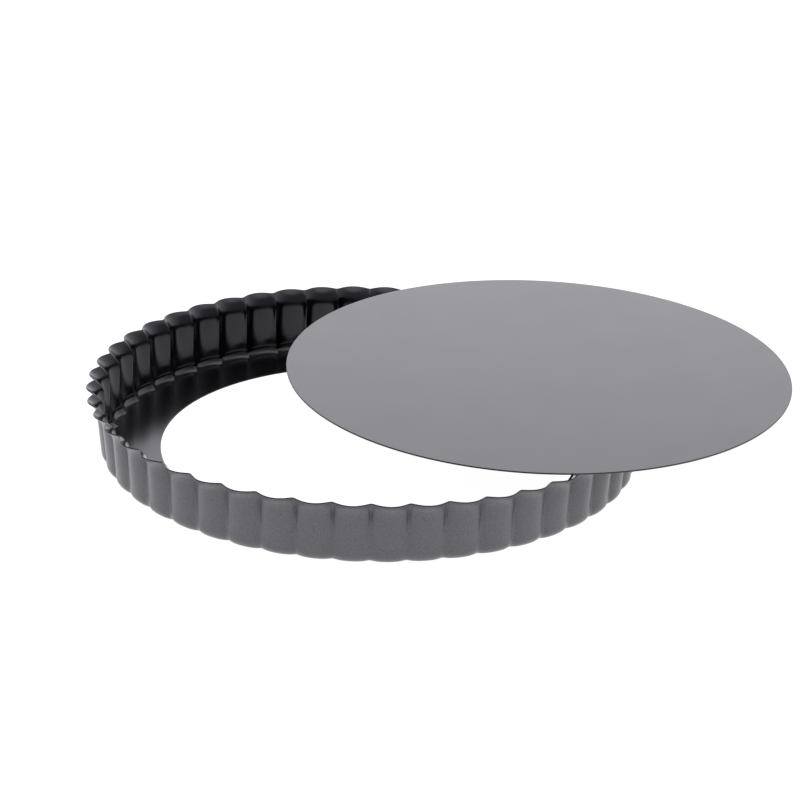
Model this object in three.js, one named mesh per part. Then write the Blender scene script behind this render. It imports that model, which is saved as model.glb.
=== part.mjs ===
// Fluted tart pan with a loose base, in millimetres, +Z up.
//
// Two pressed sheet-steel pieces. The fluted ring stands on its flat foot ledge. The loose base
// is a flat disc that drops into the ring from above and rests on that ledge. Here it is out of
// the ring: it lies flat on top of the rim, off centre towards +X.
//
// The origin is on the surface that the pan stands on, midway between the ring's far side at -X
// and the base's far edge at +X.
import * as THREE from 'three';

// ---- driving dimensions ----
const FLUTES = 48;
const SHEET = 0.6; // thickness of the ring's steel

const LIP_RADIUS = 140; // outermost edge of the lip, at a flute's crest
const RIM_HEIGHT = 32.8; // underside of the ledge to the top of the lip's edge
const LIP_FLARE = 4.8; // how far the lip stands out from the top of the wall
const LIP_DEPTH = 8.4; // height of the flared lip, which curves out gently at first
const LIP_LEAN = 50; // how far the lip's edge leans outward, degrees from upright
const WALL_LEAN = 5.6; // how far the wall leans outward, degrees from upright

const FOOT_RADIUS = 133.3; // outside of the wall at its foot, at a flute's crest
const FOOT_BEND = 5.3; // outer radius of the bend between the wall and the ledge
const HOLE_RADIUS = 103.4; // the ledge's round opening

// Each flute is a shallow arch, and two arches meet in a crease. depth is from crest to crease,
// arch is the arch's share of that depth, and the rest of it is pressed in only near the crease,
// nearer the higher fold is. crease is how rounded the crease is, as a share of half a flute.
const LEDGE_FLUTE = { depth: 0, arch: 1, fold: 8, crease: 0.15 }; // the opening is round
const FOOT_FLUTE = { depth: 2.9, arch: 0.45, fold: 5, crease: 0.15 };
const LOW_WALL_FLUTE = { depth: 2.7, arch: 0.82, fold: 7, crease: 0.12 };
const HIGH_WALL_FLUTE = { depth: 3.8, arch: 0.8, fold: 12, crease: 0.03 };
const MIDDLE_LIP_FLUTE = { depth: 4, arch: 0.92, fold: 10, crease: 0.08 };
const LIP_FLUTE = { depth: 4.1, arch: 1, fold: 8, crease: 0.11 };
const LOW_WALL_HEIGHT = 9; // where the creases reach their depth above the foot

const BASE_RADIUS = 127;
const BASE_SHEET = 0.8;
const BASE_BREAK = 0.2; // small bevel round the base's edges

const BASE_OFFSET = 88.4; // centre of the ring to centre of the base
const FLUTE_TURN = 77.05; // direction of one flute's crest, degrees from +X
const CLEARANCE = 0.3; // between the rim and the base that lies on it

// Where the ring is sampled across each flute, as a share of the pitch from one crest to the next.
const FLUTE_STEPS = [0, 0.2, 0.36, 0.44, 0.5, 0.56, 0.64, 0.8];
const BASE_SEGMENTS = 96;

// ---- materials ----
function coatedSteel(color, roughness) {
  return new THREE.MeshStandardMaterial({ color, roughness, metalness: 0.5 });
}
const ringCoating = coatedSteel(0x66666a, 0.42);
const baseCoating = coatedSteel(0x8e8e92, 0.5);

// ---- fluted ring ----
// The middle of the sheet, from the edge of the hole out along the ledge and up to the lip's
// edge, at a flute's crest. facing is the direction in which the sheet's underside or outside
// looks, in degrees from the outward horizontal.
function ringSection() {
  const half = SHEET / 2;
  const bend = FOOT_BEND - half;
  const bendCentre = FOOT_RADIUS - FOOT_BEND;
  const wallTopRadius = LIP_RADIUS - LIP_FLARE - half;
  const wallTopHeight = RIM_HEIGHT - LIP_DEPTH;
  const section = [
    { radius: HOLE_RADIUS, height: half, facing: -90, flute: LEDGE_FLUTE },
    { radius: bendCentre, height: half, facing: -90, flute: FOOT_FLUTE },
  ];
  for (const facing of [-45, -WALL_LEAN]) {
    const turn = THREE.MathUtils.degToRad(facing);
    section.push({
      radius: bendCentre + bend * Math.cos(turn),
      height: FOOT_BEND + bend * Math.sin(turn),
      facing,
      flute: FOOT_FLUTE,
    });
  }
  const foot = section.at(-1);
  const share = (LOW_WALL_HEIGHT - foot.height) / (wallTopHeight - foot.height);
  section.push({
    radius: THREE.MathUtils.lerp(foot.radius, wallTopRadius, share),
    height: LOW_WALL_HEIGHT,
    facing: -WALL_LEAN,
    flute: LOW_WALL_FLUTE,
  });
  section.push({
    radius: wallTopRadius,
    height: wallTopHeight,
    facing: -WALL_LEAN,
    flute: HIGH_WALL_FLUTE,
  });
  const curve = lipCurve(wallTopRadius, wallTopHeight);
  for (const [share, flute] of [[0.62, MIDDLE_LIP_FLUTE], [1, LIP_FLUTE]]) {
    const place = curve.getPoint(share);
    const along = curve.getTangent(share);
    const lean = THREE.MathUtils.radToDeg(Math.atan2(along.x, along.y));
    section.push({ radius: place.x, height: place.y, facing: -lean, flute });
  }
  return section;
}

// The middle of the lip's sheet, leaning like the wall at first and by LIP_LEAN at its edge.
function lipCurve(wallTopRadius, wallTopHeight) {
  const wallLean = THREE.MathUtils.degToRad(WALL_LEAN);
  const lipLean = THREE.MathUtils.degToRad(LIP_LEAN);
  const upWall = new THREE.Vector2(Math.sin(wallLean), Math.cos(wallLean));
  const upLip = new THREE.Vector2(Math.sin(lipLean), Math.cos(lipLean));
  const start = new THREE.Vector2(wallTopRadius, wallTopHeight);
  const edge = new THREE.Vector2(
    LIP_RADIUS - (SHEET / 2) * Math.cos(lipLean),
    RIM_HEIGHT - (SHEET / 2) * Math.sin(lipLean),
  );
  return new THREE.CubicBezierCurve(
    start,
    start.clone().addScaledVector(upWall, 0.62 * LIP_DEPTH),
    edge.clone().addScaledVector(upLip, -0.3 * LIP_DEPTH),
    edge,
  );
}

// Both faces of the sheet as one closed outline: out along the underside, back along the top.
function sheetOutline(section) {
  const under = [];
  const over = [];
  for (const { radius, height, facing, flute } of section) {
    const turn = THREE.MathUtils.degToRad(facing);
    const across = new THREE.Vector2(Math.cos(turn), Math.sin(turn)).multiplyScalar(SHEET / 2);
    under.push([radius + across.x, height + across.y, flute]);
    over.unshift([radius - across.x, height - across.y, flute]);
  }
  return [...under, ...over];
}

// How far the sheet is pressed in at a place across one flute: none at the crest, the whole
// depth in the crease.
function pressedIn({ depth, arch, fold, crease }, step) {
  const away = 1 - 2 * Math.min(step, 1 - step);
  const nearness = Math.hypot(1, crease) - Math.hypot(away, crease);
  return depth * (arch * nearness ** 2 + (1 - arch) * nearness ** fold);
}

function flutedRing() {
  const outline = sheetOutline(ringSection());
  const closed = [...outline, outline[0]];
  const segments = FLUTES * FLUTE_STEPS.length;
  const geometry = new THREE.LatheGeometry(
    closed.map(([radius, height]) => new THREE.Vector2(radius, height)),
    segments,
  );
  const position = geometry.attributes.position;
  for (let i = 0; i < position.count; i++) {
    const row = Math.floor(i / closed.length) % segments;
    const [radius, height, flute] = closed[i % closed.length];
    const step = FLUTE_STEPS[row % FLUTE_STEPS.length];
    const angle = ((Math.floor(row / FLUTE_STEPS.length) + step) / FLUTES) * 2 * Math.PI;
    const reach = radius - pressedIn(flute, step);
    position.setXYZ(i, reach * Math.cos(angle), reach * Math.sin(angle), height);
  }
  return geometry;
}

// ---- loose base ----
function looseBase() {
  const outline = [
    [0, 0],
    [BASE_RADIUS - BASE_BREAK, 0],
    [BASE_RADIUS, BASE_BREAK],
    [BASE_RADIUS, BASE_SHEET - BASE_BREAK],
    [BASE_RADIUS - BASE_BREAK, BASE_SHEET],
    [0, BASE_SHEET],
  ];
  const geometry = new THREE.LatheGeometry(
    outline.map(([radius, height]) => new THREE.Vector2(radius, height)),
    BASE_SEGMENTS,
  );
  return geometry.rotateX(Math.PI / 2);
}

// ---- assembly ----
const ring = new THREE.Mesh(flutedRing(), ringCoating);
ring.name = 'fluted_ring';
ring.rotation.z = THREE.MathUtils.degToRad(FLUTE_TURN);

const base = new THREE.Mesh(looseBase(), baseCoating);
base.name = 'loose_base';
base.position.set(BASE_OFFSET, 0, RIM_HEIGHT + CLEARANCE);

const group = new THREE.Group();
group.name = 'tart_pan';
group.add(ring, base);

// Bring the middle of the two pieces' whole length over the origin.
const extent = new THREE.Box3().setFromObject(group, true);
group.position.x = -(extent.min.x + extent.max.x) / 2;
group.position.y = -(extent.min.y + extent.max.y) / 2;
group.position.z = -extent.min.z;
group.updateMatrixWorld(true);

export default group;
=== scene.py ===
"""Fluted tart pan with a loose base, in coated steel, in metres and +Z up.

The ring stands on its flat foot ledge and the loose base lies across its rim, off centre towards
+X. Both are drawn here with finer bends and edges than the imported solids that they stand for.
"""
import math

import bpy
from mathutils import Matrix, Vector


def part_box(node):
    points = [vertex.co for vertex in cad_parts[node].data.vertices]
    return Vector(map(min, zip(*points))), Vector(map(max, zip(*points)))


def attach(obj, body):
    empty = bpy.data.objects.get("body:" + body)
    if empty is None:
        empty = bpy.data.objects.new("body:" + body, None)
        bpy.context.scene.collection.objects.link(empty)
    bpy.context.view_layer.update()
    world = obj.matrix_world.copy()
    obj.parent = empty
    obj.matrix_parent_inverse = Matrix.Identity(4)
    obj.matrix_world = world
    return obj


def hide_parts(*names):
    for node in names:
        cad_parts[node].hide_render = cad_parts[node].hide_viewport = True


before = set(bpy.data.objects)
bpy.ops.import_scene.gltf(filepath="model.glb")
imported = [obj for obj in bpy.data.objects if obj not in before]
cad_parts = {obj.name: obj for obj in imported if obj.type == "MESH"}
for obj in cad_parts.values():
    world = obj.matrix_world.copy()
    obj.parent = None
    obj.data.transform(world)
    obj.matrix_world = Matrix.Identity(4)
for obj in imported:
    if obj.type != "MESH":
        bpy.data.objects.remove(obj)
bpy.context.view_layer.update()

MM = 0.001

# ---- driving dimensions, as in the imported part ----
FLUTES = 48
SHEET = 0.6 * MM
LIP_RADIUS = 140 * MM
LIP_FLARE = 4.8 * MM
LIP_DEPTH = 8.4 * MM
LIP_LEAN = math.radians(50)
WALL_LEAN = math.radians(5.6)
FOOT_RADIUS = 133.3 * MM
FOOT_BEND = 5.3 * MM
HOLE_RADIUS = 103.4 * MM
FLUTE_TURN = math.radians(77.05)
LOW_WALL_HEIGHT = 9 * MM

# A flute is a shallow arch, and two arches meet in a crease. Each entry is its depth from crest
# to crease, the arch's share of that depth, how near the crease the rest of it is folded in, and
# how rounded the crease is.
LEDGE_FLUTE = (0, 1, 8, 0.15)
FOOT_FLUTE = (2.9 * MM, 0.45, 5, 0.15)
LOW_WALL_FLUTE = (2.7 * MM, 0.82, 7, 0.12)
HIGH_WALL_FLUTE = (3.8 * MM, 0.8, 12, 0.03)
LIP_FLUTE = (4.1 * MM, 1, 8, 0.11)

ring_low, ring_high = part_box("fluted_ring")
base_low, base_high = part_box("loose_base")
RIM_HEIGHT = ring_high.z
RING_CENTRE = (ring_low + ring_high) / 2
BASE_CENTRE = (base_low + base_high) / 2
BASE_RADIUS = (base_high.y - base_low.y) / 2
BASE_SHEET = base_high.z - base_low.z

# ---- fineness of the visible meshes ----
HALF_FLUTE_STEPS = [0.04 * i for i in range(10)] + [
    0.39, 0.415, 0.435, 0.452, 0.466, 0.477, 0.486, 0.493, 0.497,
]
FLUTE_STEPS = HALF_FLUTE_STEPS + [0.5] + [1 - step for step in reversed(HALF_FLUTE_STEPS[1:])]
LIP_STEPS = [0.06 * i for i in range(14)] + [0.84, 0.89, 0.94, 0.98, 1]
LEDGE_STEPS = [0, 0.01, 0.03, 0.1, 0.3, 0.5, 0.7, 0.85, 0.95]
BEND_STEPS = 12
WALL_STEPS = 20
EDGE_STEPS = 6  # round the ring's raw edges
BASE_FACE_STEPS = [0.02, 0.1, 0.3, 0.5, 0.7, 0.85, 0.95, 0.985]
BASE_EDGE_STEPS = 5  # round each half of the base's edge
BASE_SEGMENTS = 288

VIEW_AZIMUTH = math.radians(-18.18)  # the camera stands this far round from -Y


# ---- materials ----
def coated_steel(name, color, roughness, grain_contrast, peel_size, peel_depth, gloss=(1, 1, 1)):
    """Baked coating on steel: fine grain in its colour over a slightly uneven, orange-peel face."""
    material = bpy.data.materials.new(name)
    material.use_nodes = True
    nodes = material.node_tree.nodes
    links = material.node_tree.links
    shader = nodes["Principled BSDF"]
    shader.inputs["Specular Tint"].default_value = (*gloss, 1)
    place = nodes.new("ShaderNodeTexCoord")

    def noise(size, detail):
        node = nodes.new("ShaderNodeTexNoise")
        node.inputs["Scale"].default_value = 1 / size
        node.inputs["Detail"].default_value = detail
        links.new(place.outputs["Object"], node.inputs["Vector"])
        return node.outputs["Fac"]

    def spread(value, low, high):
        node = nodes.new("ShaderNodeMapRange")
        node.inputs["From Min"].default_value = 0.3
        node.inputs["From Max"].default_value = 0.7
        node.inputs["To Min"].default_value = low
        node.inputs["To Max"].default_value = high
        links.new(value, node.inputs["Value"])
        return node.outputs["Result"]

    grain = nodes.new("ShaderNodeMix")
    grain.data_type = "RGBA"
    grain.inputs["A"].default_value = (*[c * (1 - grain_contrast) for c in color], 1)
    grain.inputs["B"].default_value = (*[c * (1 + grain_contrast) for c in color], 1)
    links.new(spread(noise(0.6 * MM, 1), 0, 1), grain.inputs["Factor"])
    links.new(grain.outputs["Result"], shader.inputs["Base Color"])
    links.new(
        spread(noise(25 * MM, 3), 0.94 * roughness, 1.06 * roughness),
        shader.inputs["Roughness"],
    )

    peel = nodes.new("ShaderNodeBump")
    peel.inputs["Distance"].default_value = peel_depth
    links.new(noise(peel_size, 1), peel.inputs["Height"])
    links.new(peel.outputs["Normal"], shader.inputs["Normal"])
    return material


outer_coating = coated_steel(
    "outer_coating", (0.109, 0.105, 0.117), 0.3, 0.2, 1 * MM, 0.02 * MM
)
# The ring's inner face is the same coating with its colour made nearly black: painted shade for the
# dim inside of the ring.
shaded_inner_coating = coated_steel(
    "shaded_inner_coating", (0.0012, 0.001, 0.0013), 0.2, 0.1, 1.5 * MM, 0.004 * MM, (0.87, 0.85, 0.95)
)
base_coating = coated_steel(
    "base_coating", (0.016, 0.015, 0.019), 0.256, 0.1, 2 * MM, 0.0006 * MM
)


# ---- meshes ----
def add_piece(name, rows, place, turn, materials, is_inner, body, node):
    """A closed tube of quads from rows of points, all rows and each row closed on themselves."""
    count = len(rows[0])
    points = [point for row in rows for point in row]
    faces = []
    for i in range(len(rows)):
        row = i * count
        next_row = (i + 1) % len(rows) * count
        for j in range(count):
            beside = (j + 1) % count
            faces.append((row + j, next_row + j, next_row + beside, row + beside))
    mesh = bpy.data.meshes.new(name)
    mesh.from_pydata(points, [], faces)
    mesh.transform(Matrix.Translation(place) @ Matrix.Rotation(turn, 4, "Z"))
    slots = [int(is_inner[i % count]) for i in range(len(faces))]
    mesh.polygons.foreach_set("material_index", slots)
    return finish_piece(name, mesh, materials, body, node)


def finish_piece(name, mesh, materials, body, node):
    mesh.validate()
    mesh.update()
    mesh.polygons.foreach_set("use_smooth", [True] * len(mesh.polygons))
    for material in materials:
        mesh.materials.append(material)
    piece = bpy.data.objects.new(name, mesh)
    bpy.context.collection.objects.link(piece)
    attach(piece, body)
    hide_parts(node)
    return piece


# ---- fluted ring ----
def between(a, b, share):
    return a + (b - a) * share


def flute_between(a, b, share):
    return tuple(between(x, y, share) for x, y in zip(a, b))


def ease(share):
    return share * share * (3 - 2 * share)


def ring_section():
    """The middle of the sheet at a crest, from the hole's edge to the lip's edge.

    Each entry is radius, height, the way its outer face looks (an angle below the outward
    horizontal), and its flute.
    """
    half = SHEET / 2
    bend = FOOT_BEND - half
    bend_radius = FOOT_RADIUS - FOOT_BEND
    section = []

    for share in LEDGE_STEPS:
        radius = between(HOLE_RADIUS, bend_radius, share)
        flute = flute_between(LEDGE_FLUTE, FOOT_FLUTE, share)
        section.append((radius, half, math.pi / 2, flute))

    for step in range(BEND_STEPS + 1):
        facing = between(math.pi / 2, WALL_LEAN, step / BEND_STEPS)
        radius = bend_radius + bend * math.cos(facing)
        section.append((radius, FOOT_BEND - bend * math.sin(facing), facing, FOOT_FLUTE))

    foot = Vector((section[-1][0], section[-1][1]))
    top = Vector((LIP_RADIUS - LIP_FLARE - half, RIM_HEIGHT - LIP_DEPTH))
    for step in range(1, WALL_STEPS):
        radius, height = foot.lerp(top, step / WALL_STEPS)
        if height < LOW_WALL_HEIGHT:
            share = ease((height - foot.y) / (LOW_WALL_HEIGHT - foot.y))
            flute = flute_between(FOOT_FLUTE, LOW_WALL_FLUTE, share)
        else:
            share = (height - LOW_WALL_HEIGHT) / (top.y - LOW_WALL_HEIGHT)
            flute = flute_between(LOW_WALL_FLUTE, HIGH_WALL_FLUTE, share)
        section.append((radius, height, WALL_LEAN, flute))

    edge = Vector((
        LIP_RADIUS - half * math.cos(LIP_LEAN),
        RIM_HEIGHT - half * math.sin(LIP_LEAN),
    ))
    up_wall = Vector((math.sin(WALL_LEAN), math.cos(WALL_LEAN)))
    up_lip = Vector((math.sin(LIP_LEAN), math.cos(LIP_LEAN)))
    curve = [top, top + 0.62 * LIP_DEPTH * up_wall, edge - 0.3 * LIP_DEPTH * up_lip, edge]
    for share in LIP_STEPS:
        low, middle, high = [a.lerp(b, share) for a, b in zip(curve, curve[1:])]
        start, end = low.lerp(middle, share), middle.lerp(high, share)
        point = start.lerp(end, share)
        facing = math.atan2(end.x - start.x, end.y - start.y)
        flute = flute_between(HIGH_WALL_FLUTE, LIP_FLUTE, ease(share))
        section.append((point.x, point.y, facing, flute))
    return section


def sheet_outline(section):
    """Both faces of the sheet with a rounded edge at each end, as one closed outline."""
    under = []
    over = []
    for radius, height, facing, flute in section:
        across = Vector((math.cos(facing), -math.sin(facing))) * SHEET / 2
        under.append((radius + across.x, height + across.y, flute))
        over.insert(0, (radius - across.x, height - across.y, flute))
    lip = rounded_edge(section[-1], 1)
    hole = rounded_edge(section[0], -1)
    outline = under[1:-1] + lip + over[1:-1] + hole
    is_inner = [i >= len(under) - 2 for i in range(len(outline))]
    return outline, is_inner


def rounded_edge(entry, way):
    """Points round a raw edge of the sheet. way is 1 at the end of the section, -1 at its start."""
    radius, height, facing, flute = entry
    across = Vector((math.cos(facing), -math.sin(facing)))
    along = Vector((math.sin(facing), math.cos(facing))) * way
    soft = SHEET / 4
    points = []
    for step in range(EDGE_STEPS + 1):
        angle = between(-math.pi / 2, math.pi / 2, step / EDGE_STEPS)
        side = -math.sin(angle) * way
        point = Vector((radius, height)) + across * side * SHEET / 2
        point += along * soft * (math.cos(angle) - 1)
        points.append((point.x, point.y, flute))
    return points


def pressed_in(flute, step):
    """How far the sheet is pressed in at a place across one flute, from its crest."""
    depth, arch, fold, crease = flute
    nearness = math.hypot(1, crease) - math.hypot(1 - 2 * min(step, 1 - step), crease)
    return depth * (arch * nearness**2 + (1 - arch) * nearness**fold)


def fluted_ring():
    outline, is_inner = sheet_outline(ring_section())
    rows = []
    for index in range(FLUTES * len(FLUTE_STEPS)):
        step = FLUTE_STEPS[index % len(FLUTE_STEPS)]
        angle = 2 * math.pi * (index // len(FLUTE_STEPS) + step) / FLUTES
        row = []
        for radius, height, flute in outline:
            reach = radius - pressed_in(flute, step)
            row.append((reach * math.cos(angle), reach * math.sin(angle), height))
        rows.append(row)
    place = Vector((RING_CENTRE.x, RING_CENTRE.y, ring_low.z))
    add_piece(
        "tart_ring",
        rows,
        place,
        FLUTE_TURN,
        [outer_coating, shaded_inner_coating],
        is_inner,
        "ring",
        "fluted_ring",
    )


# ---- loose base ----
def loose_base():
    """A flat disc with softly rounded edges, drawn as rings of quads round a small centre cap."""
    soft = 0.3 * MM
    outline = []
    face_radii = [BASE_RADIUS * share for share in BASE_FACE_STEPS]
    face_radii.append(BASE_RADIUS - 2 * soft)
    face_radii.append(BASE_RADIUS - 1.3 * soft)
    for radius in face_radii:
        outline.append((radius, 0))
    for centre_height, start in ((soft, -math.pi / 2), (BASE_SHEET - soft, 0)):
        for step in range(BASE_EDGE_STEPS + 1):
            angle = start + math.pi / 2 * step / BASE_EDGE_STEPS
            outline.append((
                BASE_RADIUS - soft + soft * math.cos(angle),
                centre_height + soft * math.sin(angle),
            ))
    for radius in reversed(face_radii):
        outline.append((radius, BASE_SHEET))

    count = len(outline)
    points = []
    for index in range(BASE_SEGMENTS):
        angle = 2 * math.pi * index / BASE_SEGMENTS
        for radius, height in outline:
            points.append((radius * math.cos(angle), radius * math.sin(angle), height))
    faces = []
    for i in range(BASE_SEGMENTS):
        row = i * count
        next_row = (i + 1) % BASE_SEGMENTS * count
        for j in range(count - 1):
            faces.append((row + j, next_row + j, next_row + j + 1, row + j + 1))
    faces.append([i * count for i in reversed(range(BASE_SEGMENTS))])
    faces.append([i * count + count - 1 for i in range(BASE_SEGMENTS)])
    mesh = bpy.data.meshes.new("tart_base")
    mesh.from_pydata(points, [], faces)
    mesh.transform(Matrix.Translation((BASE_CENTRE.x, BASE_CENTRE.y, base_low.z)))
    finish_piece("tart_base", mesh, [base_coating], "base", "loose_base")


fluted_ring()
loose_base()


# ---- camera ----
def add_camera():
    """The photograph's view: a long lens, 23 degrees down, tipped a little to one side."""
    camera = bpy.data.objects.new("camera", bpy.data.cameras.new("camera"))
    bpy.context.collection.objects.link(camera)
    camera.data.sensor_width = 36
    camera.data.lens = 121.4
    camera.data.clip_start = 0.01
    pitch = 0.4017
    roll = 0.0338
    stand = Matrix.Rotation(VIEW_AZIMUTH, 4, "Z") @ Vector((0.01477, -1.23011, 0.54828))
    camera.matrix_world = (
        Matrix.Translation(stand + Vector((RING_CENTRE.x, RING_CENTRE.y, 0)))
        @ Matrix.Rotation(VIEW_AZIMUTH, 4, "Z")
        @ Matrix.Rotation(math.pi / 2 - pitch, 4, "X")
        @ Matrix.Rotation(roll, 4, "Z")
    )
    bpy.context.scene.camera = camera


# ---- studio ----
def add_floor():
    material = bpy.data.materials.new("white_floor")
    material.use_nodes = True
    shader = material.node_tree.nodes["Principled BSDF"]
    shader.inputs["Base Color"].default_value = (0.2, 0.2, 0.2, 1)
    shader.inputs["Roughness"].default_value = 0.9
    shader.inputs["Specular IOR Level"].default_value = 0
    shader.inputs["Emission Color"].default_value = (1, 1, 1, 1)
    shader.inputs["Emission Strength"].default_value = 0.98
    mesh = bpy.data.meshes.new("floor")
    size = 30
    corners = [(-size, -size, 0), (size, -size, 0), (size, size, 0), (-size, size, 0)]
    mesh.from_pydata(corners, [], [(0, 1, 2, 3)])
    mesh.materials.append(material)
    floor = bpy.data.objects.new("floor", mesh)
    floor.location.z = -0.1 * MM
    bpy.context.collection.objects.link(floor)


def brightness(nodes, links, value, stops):
    """A smooth brightness from a value between -1 and 1, through stops of (value, brightness)."""
    curve = nodes.new("ShaderNodeFloatCurve")
    points = curve.mapping.curves[0].points
    top = max(level for _, level in stops)
    inside = [((at + 1) / 2, level / top) for at, level in stops]
    points[0].location = (0, inside[0][1])
    points[1].location = (1, inside[-1][1])
    for at, level in inside:
        if 0 < at < 1:
            points.new(at, level)
    for point in points:
        point.handle_type = "AUTO_CLAMPED"
    curve.mapping.update()
    span = nodes.new("ShaderNodeMath")
    span.operation = "MULTIPLY_ADD"
    span.inputs[1].default_value = 0.5
    span.inputs[2].default_value = 0.5
    links.new(value, span.inputs[0])
    links.new(span.outputs["Value"], curve.inputs["Value"])
    scaled = nodes.new("ShaderNodeMath")
    scaled.operation = "MULTIPLY"
    scaled.inputs[1].default_value = top
    links.new(curve.outputs["Value"], scaled.inputs[0])
    return scaled.outputs["Value"]


def add_sky():
    """A white studio that is bright behind the object and dimmer towards the camera's side."""
    world = bpy.data.worlds.new("studio")
    bpy.context.scene.world = world
    world.use_nodes = True
    nodes = world.node_tree.nodes
    links = world.node_tree.links
    nodes.clear()

    place = nodes.new("ShaderNodeTexCoord")
    back = nodes.new("ShaderNodeVectorMath")
    back.operation = "DOT_PRODUCT"
    back.inputs[1].default_value = (-math.sin(VIEW_AZIMUTH), math.cos(VIEW_AZIMUTH), 0)
    links.new(place.outputs["Generated"], back.inputs[0])
    behind = brightness(nodes, links, back.outputs["Value"], [
        (-1, 0.27), (-0.5, 0.33), (0, 0.75), (0.4, 1.09), (0.85, 1.48), (0.97, 2.15),
    ])
    split = nodes.new("ShaderNodeSeparateXYZ")
    links.new(place.outputs["Generated"], split.inputs["Vector"])
    above = brightness(nodes, links, split.outputs["Z"], [
        (0.1, 0), (0.3, 0.15), (0.74, 0.17), (0.84, 0.5), (0.92, 1.2), (1, 1.5),
    ])
    total = nodes.new("ShaderNodeMath")
    links.new(behind, total.inputs[0])
    links.new(above, total.inputs[1])

    lit = nodes.new("ShaderNodeBackground")
    lit.inputs["Color"].default_value = (0.985, 0.975, 1.035, 1)
    links.new(total.outputs["Value"], lit.inputs["Strength"])
    seen = nodes.new("ShaderNodeBackground")
    seen.inputs["Color"].default_value = (1, 1, 1, 1)
    seen.inputs["Strength"].default_value = 1
    path = nodes.new("ShaderNodeLightPath")
    pick = nodes.new("ShaderNodeMixShader")
    links.new(path.outputs["Is Camera Ray"], pick.inputs["Fac"])
    links.new(lit.outputs["Background"], pick.inputs[1])
    links.new(seen.outputs["Background"], pick.inputs[2])
    output = nodes.new("ShaderNodeOutputWorld")
    links.new(pick.outputs["Shader"], output.inputs["Surface"])


add_camera()
add_floor()
add_sky()
bpy.context.scene.view_settings.view_transform = "Standard"
